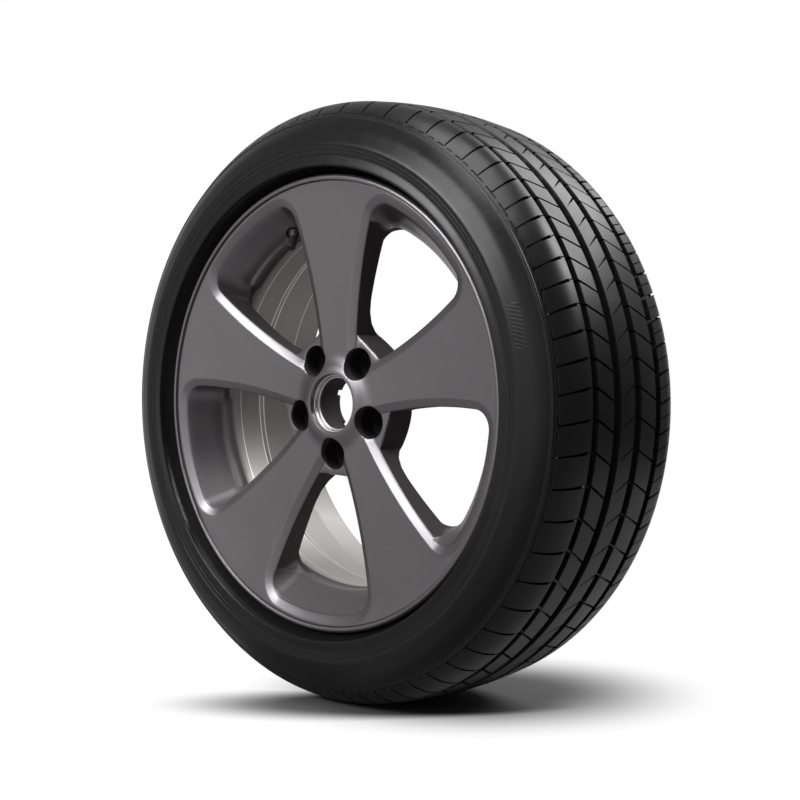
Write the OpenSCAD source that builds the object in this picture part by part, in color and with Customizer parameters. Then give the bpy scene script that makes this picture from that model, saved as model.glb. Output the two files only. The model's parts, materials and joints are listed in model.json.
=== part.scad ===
// Road wheel with its tyre: a one-piece cast alloy rim with five wide spokes, a tubeless
// tyre seated on it, and the snap-in valve that fills it.
//
// The wheel stands on its tread. The axle line is Y, the outer face looks along -Y, +Z is up,
// and the origin is the centre of the mounting face. Each sub-part is drawn with the axle
// line along its own Z, measured outwards from the rim's middle plane, and stand() turns it.

/* [Tyre] */
// Radius of the tread at its middle
tread_r = 317; // [314:0.5:320]
// Width of the tyre between its sidewalls at their widest
section_w = 223; // [220:1:226]
// Depth of the grooves that run round the tread
groove_depth = 7.5; // [6:0.5:8]
// Number of tread blocks round each shoulder
pitches = 70; // [64:1:74]
// Depth of the small flat where the tread stands on the ground
flat_drop = 2.3; // [1.8:0.1:2.6]

/* [Rim] */
// Distance between the two flanges where the beads sit
rim_w = 177.8; // [177:0.1:179]
// Radius of the bead seats at the flanges
bead_seat_r = 218.3; // [218:0.1:218.6]
// Outer radius of the flanges
flange_r = 235.6; // [235:0.1:236]
// Distance of the mounting face outwards of the rim's middle plane
inset = 38; // [37:0.5:39]

/* [Spokes] */
// Number of spokes, and of the windows between them
spokes = 5; // [5]
// Turn of the windows and bolt holes about the axle line
turn = -2.7; // [-5:0.1:5]
// Width of the bevel round each window
bevel_w = 8.5; // [7:0.5:10]
// Radius of the window's outer corners
corner_r = 19.5; // [15:0.5:22]

/* [Hub] */
// Radius of the circle of the bolt holes
bolt_circle_r = 52.5; // [52:0.5:53]
// Radius of each bolt hole
bolt_hole_r = 7.25; // [6.75:0.25:7.5]
// Radius of the pocket that each bolt sits in
bolt_pocket_r = 16.5; // [15.5:0.25:16.5]
// Radius of the bore that centres the wheel on its hub
hub_bore_r = 28.3; // [27.8:0.1:28.6]
// Radius of the open recess for a centre cap
cap_recess_r = 30.5; // [30:0.1:31]

/* [Valve] */
// Place of the valve round the rim
valve_angle = 112; // [110:1:136]
// Radius of the valve hole
valve_hole_r = 5.75; // [5.65:0.05:5.85]
// Radius of the stem's outer thread
stem_r = 3.85; // [3.8:0.05:3.9]

/* [Hidden] */

ROUND = 180;       // sides of a large turned surface in the preview
FINE = 48;         // sides of a small one

half_w = rim_w / 2;

module stand() {
    rotate([90, 0, 0]) translate([0, 0, -inset]) children();
}

module round_the_axle(n, first = 0) {
    for (i = [0 : n - 1]) rotate([0, 0, first + i * 360 / n]) children();
}

function mirrored(p) = [p[0], -p[1]];
function reversed(v) = [for (i = [len(v) - 1 : -1 : 0]) v[i]];
function unit(v) = v / norm(v);

// Corners of an outline rounded to radius r, each with n straight steps
function rounded(points, r, n) = let (count = len(points))
    [for (i = [0 : count - 1])
        let (p = points[i], a = unit(points[(i + count - 1) % count] - p), b = unit(points[(i + 1) % count] - p),
             half = acos(a * b) / 2, centre = p + unit(a + b) * r / sin(half),
             from = p + a * r / tan(half) - centre, to = p + b * r / tan(half) - centre,
             t0 = atan2(from[1], from[0]), sweep = atan2(to[1], to[0]) - t0,
             turned = sweep > 180 ? sweep - 360 : sweep < -180 ? sweep + 360 : sweep)
        for (k = [0 : n]) centre + r * [cos(t0 + turned * k / n), sin(t0 + turned * k / n)]];

// Tyre

// Outer profile as [radius, axial], from the tread's middle down the outer side to the bead.
// The shoulder is given as drops below the tread's middle, since the grooves follow it. A fine
// ridge runs round it below the blocks.
side = section_w / 2;
crown = [[0, 0], [17, 0.3], [34, 1.1], [50, 2.5], [62, 3.7], [68, 4.5], [74, 6.3], [80, 9.2],
         [86, 13.4], [91.5, 18.3], [95.4, 22.5], [96.1, 22.3], [96.9, 23.2], [97, 24.3], [100.6, 29.1]];
function crown_drop(z) = lookup(abs(z), crown);
sidewall = [[tread_r - 35.4, side - 6.8], [tread_r - 40.9, side - 4.2], [tread_r - 46.4, side - 2.2],
            [tread_r - 51.4, side - 0.8], [tread_r - 56.5, side], [tread_r - 61.5, side - 0.3],
            [tread_r - 66.5, side - 1.6], [tread_r - 70.5, side - 3.6]];
// The rib that stands out past the flange and guards it, and the valley between the two
guard_rib = [[flange_r + 8.6, side - 5.8], [flange_r + 6.8, side - 7.2], [flange_r + 5.4, side - 8.2],
             [flange_r + 4.0, half_w + 12], [flange_r + 3.0, half_w + 9.3], [flange_r + 2.2, half_w + 5.9],
             [flange_r + 0.8, half_w + 2.7], [flange_r - 1.6, half_w + 0.6], [flange_r - 4.2, half_w]];
// The bead lies on the rim's flange and seat
seat_line = [[bead_seat_r + 3.2, half_w], [bead_seat_r + 1.0, half_w - 0.8], [bead_seat_r, half_w - 2.6],
             [bead_seat_r - 1.6, half_w - 20.4]];
bead_toe = [[bead_seat_r - 0.1, half_w - 22.2]];
inner_wall = [[tread_r - 92, half_w - 19], [tread_r - 82, half_w - 11], [tread_r - 68, side - 13.5],
              [tread_r - 57, side - 8.6], [tread_r - 46, side - 9.6], [tread_r - 33, side - 15],
              [tread_r - 24.5, 84], [tread_r - 18.6, 70], [tread_r - 16.6, 45]];

// Each groove round the tread: axial place of its middle, and its width at the surface
grooves = [[58, 8], [26.2, 11], [-7.6, 11], [-46, 10]];
groove_taper = 1.4;

function groove_outline(g) = let (z = g[0], h = g[1] / 2, top = tread_r + 2,
                                  base = tread_r - crown_drop(g[0]) - groove_depth)
    [[top, z + h], [base + groove_taper, z + h - groove_taper / 2], [base, z + h - groove_taper],
     [base, z - h + groove_taper], [base + groove_taper, z - h + groove_taper / 2], [top, z - h]];

module tyre_section() {
    shoulder = [for (p = crown) [tread_r - p[1], p[0]]];
    half = concat(shoulder, sidewall, guard_rib, seat_line, bead_toe, inner_wall);
    difference() {
        polygon(concat(half, reversed([for (p = half) if (p[1] > 0) mirrored(p)])));
        for (g = grooves) polygon(groove_outline(g));
    }
}

// The blocks grow longer and shorter three times round the tread, which spreads the noise
// that they make on the road.
pitch_swell = 3.6;
function pitch_angle(i) = let (a = 360 * i / pitches) a + pitch_swell * cos(3 * a);

// One straight slot, with its floor given as [axial place, drop below the tread's middle]. It
// leans by slope millimetres round the tread for each one across it, from the place start.
module slot(i, floor, slope, width, start = 0) {
    first = floor[0][0];
    last = floor[len(floor) - 1][0];
    lean = atan(slope);
    rotate([0, 0, pitch_angle(i)]) translate([0, start, first]) rotate([90 - lean, 0, 0])
        linear_extrude(width, center = true)
            polygon(concat([[tread_r + 3, (last - first) / cos(lean)], [tread_r + 3, 0]],
                           [for (p = floor) [tread_r - p[1], (p[0] - first) / cos(lean)]]));
}

module tread_slots() {
    for (i = [0 : pitches - 1]) {
        // Outer shoulder: a wide slot that stops short of the first groove
        slot(i, [[66, 11.2], [93, 22.4]], -0.21, 2.6, -1);
        // Ribs two, three and four: sipes that make a chevron with the shoulder slots
        slot(i, [[29, 7.2], [56, 9]], 0.55, 2.4, -15);
        slot(i + 0.12, [[-5, 6.5], [17.5, 5.5]], -0.62, 1.5);
        slot(i, [[-43, 8], [-10, 6]], 0.43, 2.1, -14);
        // Inner shoulder: a wide slot and a sipe for each block
        slot(i + 0.36, [[-93, 22.4], [-74, 13.2], [-48, 9]], -0.26, 2.4, 11.6);
        slot(i + 0.86, [[-84, 16], [-48, 8]], -0.26, 1.2, 9.4);
    }
}

module tyre() {
    color([0.07, 0.07, 0.075]) stand() difference() {
        rotate_extrude($fn = ROUND) tyre_section();
        tread_slots();
        translate([-tread_r, -tread_r - 10, -side]) cube([2 * tread_r, 10 + flat_drop, 2 * side]);
    }
}

// Rim: one casting of hub, spokes, outer ring, barrel and flanges

// Contour that each side of the tyre sits on, as [radius, axial], from the flange's edge to
// the hump inside the bead seat
flange_edge = [[flange_r - 5.6, half_w + 10.1], [flange_r - 3.4, half_w + 10.6], [flange_r - 1.2, half_w + 9.4],
               [flange_r, half_w + 7], [flange_r - 0.3, half_w + 4.6], [flange_r - 1.8, half_w + 2.4],
               [flange_r - 5, half_w + 0.5], [flange_r - 9, half_w]];
hump = [[bead_seat_r - 0.7, half_w - 22.4], [bead_seat_r - 0.4, half_w - 24.2], [bead_seat_r - 1.3, half_w - 26.2]];
seat_contour = concat(flange_edge, seat_line, hump);
// The well that lets the beads be fitted, and the barrel that opens towards the inner side
well = [[214, 60.5], [203, 55], [200, 51.5], [199, 47], [199, 20], [203, -7], [212, -56]];
barrel_inside = [[228, -half_w - 8.6], [216.5, -half_w - 8.4], [213.4, -half_w - 7.2], [212.4, -half_w - 4.4],
                 [208.4, -58.5], [207.2, -56.5], [198, -7], [194.6, 2.5], [195, 41.4]];

// Front of the disc, from the cap recess out to the edge of the face
face_slope = 0.1076;
function face_z(r) = 77.2 + (r - 50) * face_slope;
hub_front = [[cap_recess_r, 81.4], [cap_recess_r + 0.8, 82], [34.5, 81.9], [38.5, 81], [43, 79.4],
             [48, 78.2], [54, 77.9], [62, face_z(62)]];
face_edge = [[228.6, face_z(228.6)], [229.2, 96.2], [229.6, 95.6]];
disc_back = [[194.2, 44], [192.5, 50], [187, 56.5], [176, 61], [115, 61], [101, 59.4], [89, 54.6],
             [81, 47.6], [76.5, 41], [73.5, inset]];
// Bore from the mounting face out to the cap recess, with the lip that the cap clips behind
bore = [[hub_bore_r + 1.2, inset], [hub_bore_r, inset + 1.2], [hub_bore_r, 68], [hub_bore_r - 1.5, 68],
        [hub_bore_r - 1.5, 72.5], [28.8, 72.5], [28.8, 77], [cap_recess_r, 77]];

module casting() {
    rotate_extrude($fn = ROUND)
        polygon(concat(hub_front, face_edge, seat_contour, well, reversed([for (p = seat_contour) mirrored(p)]),
                       barrel_inside, disc_back, bore));
}

// Half the width of a window at distance u from the axle line along its middle, and the lean
// of its side there
window_inner = 74.7;
window_r = 217.9;
function window_half(u) = 47.55 + 0.433 * (u - 128.8) - 3.02 * pow((u - 128.8) / 49.5, 2);
function side_lean(u) = atan(0.433 - 0.122 * (u - 128.8) / 49.5);

// Middle of the corner arc that touches a side, grown outwards by grow, at u
function corner_middle(u, grow, c) = [u, window_half(u)] + (grow - c) * [-sin(side_lean(u)), cos(side_lean(u))];
// Distance u at which that arc also touches the outer arc of radius big
function corner_u(grow, c, big, low, high, n) = let (mid = (low + high) / 2)
    n == 0 ? mid : norm(corner_middle(mid, grow, c)) < big - c ? corner_u(grow, c, big, mid, high, n - 1)
                                                               : corner_u(grow, c, big, low, mid, n - 1);

// Half outline of a window grown by grow, as [u, v] from its inner end to the middle of its
// outer arc
side_steps = 7;
corner_steps = 9;
arc_steps = 6;
function half_outline(grow, c, big, inner) =
    let (uc = corner_u(grow, c, big, 120, big, 24), middle = corner_middle(uc, grow, c),
         first = 90 + side_lean(uc), last = atan2(middle[1], middle[0]))
    concat([for (k = [0 : side_steps - 1]) let (u = inner + (uc - inner) * k / side_steps)
               [u, window_half(u)] + grow * [-sin(side_lean(u)), cos(side_lean(u))]],
           [for (k = [0 : corner_steps]) let (t = first + (last - first) * k / corner_steps) middle + c * [cos(t), sin(t)]],
           [for (k = [1 : arc_steps]) let (t = last * (1 - k / arc_steps)) big * [cos(t), sin(t)]]);

// Foot of the bevel: level round the bolt pockets, then rising with the face
pad_z = 74.8;
function foot_z(r) = pad_z + max(0, r - 70) * 0.118;

// Sunk area that the bevel makes round a window and its bolt pocket. Its wall is ruled from
// the window's edge at the foot to the wider outline on the face, and a little past it. Both
// outlines end inside the bolt pocket.
bevel_reach = 1.2;
foot_inner = 52;
brim_inner = 47;
bevel_growth = 8.6;
function both_sides(half) = concat(half, [for (i = [len(half) - 2 : -1 : 0]) [half[i][0], -half[i][1], half[i][2]]]);
module bevel_cutter() {
    foot = [for (p = half_outline(0, corner_r, window_r, foot_inner)) [p[0], p[1], foot_z(norm(p))]];
    brim = [for (p = half_outline(bevel_w, corner_r + bevel_w, window_r + bevel_growth, brim_inner))
               [p[0], p[1], face_z(norm(p))]];
    top = [for (i = [0 : len(foot) - 1]) foot[i] + (brim[i] - foot[i]) * bevel_reach];
    n = len(foot);
    m = 2 * n - 1;
    polyhedron(points = concat(both_sides(foot), both_sides(top)),
               faces = concat([for (i = [0 : n - 3]) each [[i, m - 2 - i, i + 1], [i, m - 1 - i, m - 2 - i]]],
                              [[n - 2, n, n - 1]],
                              [for (i = [0 : n - 3]) each [[m + i + 1, 2 * m - 1 - i, m + i],
                                                           [m + i + 1, 2 * m - 2 - i, 2 * m - 1 - i]]],
                              [[m + n - 1, m + n, m + n - 2]],
                              [for (i = [0 : m - 1]) let (j = (i + 1) % m) each [[j, m + i, i], [j, m + j, m + i]]]));
}

// The outer wall of a window turns in towards the well behind the face
window_wall = [[193.5, 20], [193.5, 50], [194.8, 60], [206.5, 77], [215.2, 89], [window_r, 92.4], [window_r, 110]];
module window_cutter() {
    half = half_outline(0, corner_r, window_r + 3, window_inner);
    intersection() {
        translate([0, 0, 30]) linear_extrude(75) polygon(concat(half, reversed([for (p = half) if (p[1] > 0) [p[0], -p[1]]])));
        rotate_extrude($fn = ROUND) polygon(concat([[0, 20]], window_wall, [[0, 110]]));
    }
}

// Bolt hole: a bore, a cone for the bolt's head, and the pocket above them
seat_z = 46;
seat_r = 12.4;
seat_depth = (seat_r - bolt_hole_r) / tan(30);
module bolt_cutter() {
    translate([bolt_circle_r, 0, 0]) rotate_extrude($fn = FINE)
        polygon([[0, inset - 5], [bolt_hole_r, inset - 5], [bolt_hole_r, seat_z], [seat_r, seat_z + seat_depth],
                 [bolt_pocket_r, seat_z + seat_depth], [bolt_pocket_r, 90], [0, 90]]);
}

// The back of each spoke is cored out, and so is the mounting face between the bolt holes
module core_out() {
    translate([0, 0, inset]) linear_extrude(35)
        polygon(rounded([[106, -20], [182, -38], [182, 38], [106, 20]], 9, 5));
    translate([0, 0, inset - 1]) linear_extrude(12)
        polygon(rounded([[41, -6], [65, -13], [65, 13], [41, 6]], 4, 4));
}

// Cut-outs at the back of the bore, one behind each spoke
module bore_notch() {
    translate([24, -3.6, inset - 1]) cube([10, 7.2, 8]);
}

// Where the valve stands: on the sloped outer wall of a window, its own Z out along the stem
valve_foot = [196.2, 62];
valve_tilt = 55.5;
module at_valve() {
    rotate([0, 0, valve_angle]) translate([valve_foot[0], 0, valve_foot[1]]) rotate([0, -valve_tilt, 0]) children();
}

land_top = -6.6;
land_base = -10.6;
module valve_cutter() {
    translate([0, 0, land_top]) cylinder(r = 10.2, h = 22, $fn = FINE);
    translate([0, 0, land_base - 9]) cylinder(r = valve_hole_r, h = 20, $fn = FINE);
    translate([0, 0, land_base - 20]) cylinder(r = 9.9, h = 20, $fn = FINE);
}

module rim() {
    color([0.40, 0.39, 0.41]) stand() difference() {
        casting();
        round_the_axle(spokes, turn - 90) {
            bevel_cutter();
            window_cutter();
            bolt_cutter();
        }
        round_the_axle(spokes, turn + 90) {
            core_out();
            bore_notch();
        }
        at_valve() valve_cutter();
    }
}

// Valve: a rubber body snapped into its hole, the stem bonded inside it, the core and the cap

base_z = -16.6;
neck_z = 7.6;
sleeve_r = 3.0;
module valve_body() {
    color([0.08, 0.08, 0.08]) stand() at_valve() rotate_extrude($fn = FINE)
        polygon([[sleeve_r, base_z], [6.8, base_z], [9.4, base_z + 1.8], [9.4, land_base], [valve_hole_r, land_base],
                 [valve_hole_r, land_top], [7.9, land_top], [8.0, -5.2], [7.4, -1.5], [5.9, 3.5], [4.9, 6.4],
                 [4.6, neck_z], [sleeve_r, neck_z]]);
}

tip_z = 19;
thread_r = 2.65;     // radius of the thread that the core screws into
chamber_r = 2.1;     // radius of the chamber that the core's spring works in
throat_r = 1.3;      // radius of the way through to the tyre
chamber_floor = 1.5;
chamber_top = 12.2;
thread_floor = 13.2;
module valve_stem() {
    color([0.72, 0.62, 0.38]) stand() at_valve() rotate_extrude($fn = FINE)
        polygon([[throat_r, base_z + 1], [sleeve_r, base_z + 1], [sleeve_r, neck_z], [stem_r, neck_z],
                 [stem_r, tip_z - 0.6], [stem_r - 0.5, tip_z], [thread_r, tip_z], [thread_r, thread_floor],
                 [chamber_r, chamber_top], [chamber_r, chamber_floor], [throat_r, chamber_floor - 0.8]]);
}

// Core: the plug holds the seal on its seat, and the pin runs through both. The cup on the pin
// closes on the seal from below, pressed by the spring.
pin_r = 0.45;
guide_r = pin_r + 0.08;
fit_gap = 0.05;
seal_base = 11;
plug_top = 16.6;
module core_seal() {
    color([0.75, 0.20, 0.16]) stand() at_valve() rotate_extrude($fn = FINE)
        polygon([[guide_r, seal_base], [1.8, seal_base], [chamber_r - fit_gap, chamber_top - 0.05],
                 [thread_r - 0.1, thread_floor - 0.1], [guide_r, thread_floor - 0.1]]);
}

module core_plug() {
    color([0.72, 0.62, 0.38]) stand() at_valve() difference() {
        translate([0, 0, thread_floor - 0.1]) cylinder(r = thread_r - fit_gap, h = plug_top - thread_floor + 0.1, $fn = FINE);
        translate([0, 0, thread_floor - 1]) cylinder(r = guide_r, h = 6, $fn = FINE);
        // Two flats leave a tongue that a key can turn
        for (s = [0, 180]) rotate([0, 0, s]) translate([1.15, -4, plug_top - 1.6]) cube([4, 8, 4]);
    }
}

cup_base = 9.6;
spring_floor = 1.55;
module core_pin() {
    color([0.70, 0.70, 0.68]) stand() at_valve() rotate_extrude($fn = FINE)
        polygon([[0, 5.4], [pin_r, 5.4], [pin_r, 17.8], [0.8, 17.8], [0.8, 18.3], [0.5, 18.6], [0, 18.6]]);
}

module core_cup() {
    color([0.70, 0.62, 0.40]) stand() at_valve() rotate_extrude($fn = FINE)
        polygon([[pin_r, cup_base], [1.55, cup_base], [1.55, seal_base], [pin_r, seal_base]]);
}

// Spring wire as a tube swept along a helix
wire_r = 0.16;
coil_r = 1.2;
coil_turns = 6;
coil_steps = 14;
wire_sides = 6;
coil_low = spring_floor + wire_r;
coil_high = cup_base - wire_r - 0.02;
module core_spring() {
    last = coil_turns * coil_steps;
    rings = [for (i = [0 : last]) let (a = i * 360 / coil_steps, z = coil_low + (coil_high - coil_low) * i / last)
                [for (k = [0 : wire_sides - 1]) let (t = k * 360 / wire_sides, r = coil_r + wire_r * cos(t))
                    [r * cos(a), r * sin(a), z + wire_r * sin(t)]]];
    color([0.65, 0.65, 0.63]) stand() at_valve()
        polyhedron(points = [for (ring = rings) each ring],
                   faces = concat([[for (k = [wire_sides - 1 : -1 : 0]) k]],
                                  [[for (k = [0 : wire_sides - 1]) last * wire_sides + k]],
                                  [for (i = [0 : last - 1]) for (k = [0 : wire_sides - 1]) let (m = (k + 1) % wire_sides)
                                      [i * wire_sides + k, i * wire_sides + m, (i + 1) * wire_sides + m, (i + 1) * wire_sides + k]]));
}

// Cap: screwed over the stem's thread, with a soft disc in its crown that closes on the tip
cap_r = 4.85;
cap_base = 8.4;
cap_crown = 20.2;
cap_top = 21.8;
cap_ribs = 24;
module valve_cap() {
    color([0.05, 0.05, 0.05]) stand() at_valve() difference() {
        rotate_extrude($fn = FINE)
            polygon([[stem_r + fit_gap, cap_base], [cap_r - 0.2, cap_base], [cap_r, cap_base + 0.4], [cap_r, cap_top - 1],
                     [cap_r - 1, cap_top], [0, cap_top], [0, cap_crown], [stem_r + fit_gap, cap_crown]]);
        // Grip: flutes round the cap
        for (i = [0 : cap_ribs - 1]) rotate([0, 0, i * 360 / cap_ribs]) translate([cap_r + 0.15, 0, cap_base + 1.4])
            cylinder(r = 0.35, h = 9.2, $fn = 12);
    }
}

module cap_seal() {
    color([0.12, 0.12, 0.12]) stand() at_valve() translate([0, 0, tip_z]) difference() {
        cylinder(r = stem_r - 0.1, h = cap_crown - tip_z, $fn = FINE);
        translate([0, 0, -1]) cylinder(r = 1.2, h = 1.6, $fn = FINE);
    }
}

tyre();
rim();
valve_body();
valve_stem();
core_plug();
core_seal();
core_pin();
core_cup();
core_spring();
valve_cap();
cap_seal();
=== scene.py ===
# %% [markdown]
# # A car wheel: a moulded tyre on a cast alloy rim
# The imported model gives every piece at its real size and place. This lesson dresses it: the tyre
# and the rim are modelled again with rounded edges and smooth curves, the small marks of the
# mould are added, and every surface gets its finish.

# %% Load the imported model, with each piece's place applied to its mesh
import json
import math

import bmesh
import bpy
from mathutils import Matrix, Vector
from mathutils.kdtree import KDTree


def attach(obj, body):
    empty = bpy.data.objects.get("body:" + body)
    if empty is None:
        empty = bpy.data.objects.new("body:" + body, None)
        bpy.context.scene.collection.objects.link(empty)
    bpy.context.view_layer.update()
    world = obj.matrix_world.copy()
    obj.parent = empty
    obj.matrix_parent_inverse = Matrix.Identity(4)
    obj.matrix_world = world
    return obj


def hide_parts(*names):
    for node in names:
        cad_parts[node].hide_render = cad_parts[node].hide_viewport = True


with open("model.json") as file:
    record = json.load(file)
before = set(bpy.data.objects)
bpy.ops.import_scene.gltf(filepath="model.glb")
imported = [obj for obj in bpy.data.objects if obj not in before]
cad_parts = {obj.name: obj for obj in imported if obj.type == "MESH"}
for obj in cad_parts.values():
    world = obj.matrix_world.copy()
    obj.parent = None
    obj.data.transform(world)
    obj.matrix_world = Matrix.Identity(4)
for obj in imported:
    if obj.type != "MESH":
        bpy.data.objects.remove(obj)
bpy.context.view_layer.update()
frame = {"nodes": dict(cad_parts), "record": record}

# %% [markdown]
# ## Two frames
# A wheel is a turned thing, so it is drawn as on a lathe, in millimetres: the axle line is Z,
# measured outwards from the rim's middle plane. `stand_up` then turns a finished mesh into the
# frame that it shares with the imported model: metres, the axle line along Y, the outer face
# looking along -Y, and the origin at the centre of the mounting face.

# %% The lathe's frame and the wheel's frame
MM = 0.001
INSET = 38.0
STAND = Matrix.Scale(MM, 4) @ Matrix(((1, 0, 0, 0), (0, 0, -1, INSET), (0, 1, 0, 0), (0, 0, 0, 1)))


def stand_up(piece):
    piece.data.transform(STAND)
    piece.data.update()
    return piece


# %% [markdown]
# ## Camera
# The photograph is taken from low down, in front of the wheel and to its right, so the face
# shows as a narrow ellipse and the tread runs away behind it. The numbers were found by fitting
# the circles of the tread, rim and bolt holes.

# %% Camera at the photograph's viewing angle
CAMERA_PLACE = (1.0638, -1.1261, 0.0387)
CAMERA_YAW = 41.80
CAMERA_DIP = 1.32
CAMERA_LENS = 65.7


def make_camera():
    data = bpy.data.cameras.new("camera")
    data.lens = CAMERA_LENS
    data.sensor_width = 36.0
    camera = bpy.data.objects.new("camera", data)
    bpy.context.scene.collection.objects.link(camera)
    camera.location = CAMERA_PLACE
    camera.rotation_euler = (math.radians(90 - CAMERA_DIP), 0, math.radians(CAMERA_YAW))
    bpy.context.scene.camera = camera


make_camera()

# %% [markdown]
# ## Tools for modelling
# Every operator acts on what is selected, so each helper starts by clearing the selection. A
# turned piece starts as a circle primitive whose vertices are put on the outline of its section,
# and is then spun. A lofted piece starts the same way, and each further ring is extruded from
# the last one and put in its place.

# %% Selection, primitives, lofts and spins
SPIN_STEPS = 360
SMOOTH_ANGLE = 24.0


def clear_selection():
    if bpy.context.object and bpy.context.object.mode != "OBJECT":
        bpy.ops.object.mode_set(mode="OBJECT")
    bpy.ops.object.select_all(action="DESELECT")


def select_only(*pieces):
    clear_selection()
    for piece in pieces:
        piece.select_set(True)
    bpy.context.view_layer.objects.active = pieces[0]
    return pieces[0]


def ring_start(name, points):
    """A circle primitive with its vertices put on the points, left in edit mode, all selected."""
    clear_selection()
    bpy.ops.mesh.primitive_circle_add(vertices=len(points), radius=1.0)
    piece = bpy.context.object
    piece.name = piece.data.name = name
    for vertex, point in zip(piece.data.vertices, points):
        vertex.co = point
    bpy.ops.object.mode_set(mode="EDIT")
    bpy.ops.mesh.select_all(action="SELECT")
    return piece


def finder(points):
    """A tree that finds which of the points is nearest to a place."""
    tree = KDTree(len(points))
    for index, point in enumerate(points):
        tree.insert(point, index)
    tree.balance()
    return tree


def extrude_to(piece, old, new):
    """Extrudes the selected ring, and moves each new vertex from its old point to its new one."""
    bpy.ops.mesh.extrude_edges_move()
    mesh = bmesh.from_edit_mesh(piece.data)
    places = finder(old)
    for vertex in mesh.verts:
        if vertex.select:
            vertex.co = new[places.find(vertex.co)[1]]
    bmesh.update_edit_mesh(piece.data)


def select_ring(piece, points, reach=0.001):
    bpy.ops.mesh.select_all(action="DESELECT")
    mesh = bmesh.from_edit_mesh(piece.data)
    places = finder(points)
    for vertex in mesh.verts:
        vertex.select = places.find(vertex.co)[2] < reach
    mesh.select_flush(True)
    bmesh.update_edit_mesh(piece.data)


def tidy_mesh(piece, gap=0.002):
    """Merges doubles and points the faces outwards, in edit mode."""
    bpy.ops.mesh.select_all(action="SELECT")
    bpy.ops.mesh.remove_doubles(threshold=gap)
    bpy.ops.mesh.normals_make_consistent(inside=False)
    bpy.ops.object.mode_set(mode="OBJECT")
    return piece


def loft(name, rings):
    """A closed solid through rings of as many points each, with a flat face at both ends."""
    piece = ring_start(name, rings[0])
    bpy.ops.mesh.edge_face_add()
    select_ring(piece, rings[0])
    for old, new in zip(rings, rings[1:]):
        extrude_to(piece, old, new)
    bpy.ops.mesh.edge_face_add()
    return tidy_mesh(piece)


def turned(name, outline, steps=SPIN_STEPS):
    """A closed outline of (radius, axial) points, spun round the axle line."""
    piece = ring_start(name, [(r, 0, z) for r, z in outline])
    bpy.ops.mesh.spin(steps=steps, angle=math.tau, center=(0, 0, 0), axis=(0, 0, 1))
    return tidy_mesh(piece)


def turned_copy(piece, degrees, shift=(0, 0, 0)):
    """A copy with its own mesh, moved and then turned about the axle line."""
    copy = piece.copy()
    copy.data = piece.data.copy()
    copy.data.transform(Matrix.Rotation(math.radians(degrees), 4, "Z") @ Matrix.Translation(shift))
    bpy.context.scene.collection.objects.link(copy)
    return copy


def joined(name, pieces):
    first = select_only(*pieces)
    if len(pieces) > 1:
        bpy.ops.object.join()
    first.name = first.data.name = name
    return first


def cut(piece, cutter):
    """Takes the cutter's volume out of the piece, and deletes the cutter."""
    select_only(piece)
    boolean = piece.modifiers.new("cut", "BOOLEAN")
    boolean.operation = "DIFFERENCE"
    boolean.solver = "MANIFOLD"
    boolean.object = cutter
    bpy.ops.object.modifier_apply(modifier=boolean.name)
    bpy.data.objects.remove(cutter)


def smooth(piece):
    select_only(piece)
    bpy.ops.object.shade_smooth_by_angle(angle=math.radians(SMOOTH_ANGLE))
    return piece


def count(piece):
    triangles = sum(len(face.vertices) - 2 for face in piece.data.polygons)
    print(piece.name, "has", triangles, "triangles")


# %% [markdown]
# ## Curves through a few points
# The tyre's section has no corners from the tread's edge down to the bead, so its points are
# joined by a curve that passes through each of them (a Catmull-Rom spline), and the shading
# stays even. `look_up` reads a height from a short table, for forms that follow a radius.

# %% Curves and tables
def curve_through(points, steps):
    """A smooth curve through (a, b) points, with that many steps from each to the next."""
    out = []
    last = len(points) - 1
    for i in range(last):
        p0, p1 = points[max(i - 1, 0)], points[i]
        p2, p3 = points[i + 1], points[min(i + 2, last)]
        for k in range(steps):
            t = k / steps
            out.append(tuple(0.5 * (2 * b + (c - a) * t + (2 * a - 5 * b + 4 * c - d) * t * t
                                    + (3 * b - a - 3 * c + d) * t ** 3)
                             for a, b, c, d in zip(p0, p1, p2, p3)))
    return out + [tuple(points[-1])]


def look_up(x, table):
    """Reads a table of (x, y) pairs that rise in x, and holds its ends."""
    if x <= table[0][0]:
        return table[0][1]
    for (x0, y0), (x1, y1) in zip(table, table[1:]):
        if x <= x1:
            return y0 + (y1 - y0) * (x - x0) / (x1 - x0)
    return table[-1][1]


def mirrored(points):
    """The same (radius, axial) points on the inner side of the wheel, in reverse order."""
    return [(r, -z) for r, z in reversed(points)]


# %% [markdown]
# ## Tyre: the section
# The real tyre is one moulding. Its section runs from the tread's middle over the shoulder and
# the sidewall to the rib that guards the rim, down the bead to its toe, and back up inside. Four
# grooves run right round it, so they belong to the section and cost nothing to make.

# %% Tyre section, in the lathe's frame
TREAD_R = 316.96
SECTION_W = 223.0
SIDE = SECTION_W / 2
RIM_W = 177.8
HALF_W = RIM_W / 2
SEAT_R = 218.3
FLANGE_R = 235.6
GROOVE_DEPTH = 7.5
GROOVES = [(58, 8), (26.2, 11), (-7.6, 11), (-46, 10)]
GROOVE_TAPER = 1.4
CROWN = [(0, 0), (17, 0.3), (34, 1.1), (50, 2.5), (62, 3.7), (68, 4.5), (74, 6.3), (80, 9.2),
         (86, 13.4), (91.5, 18.3), (96.5, 23.7), (100.6, 29.1)]
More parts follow.
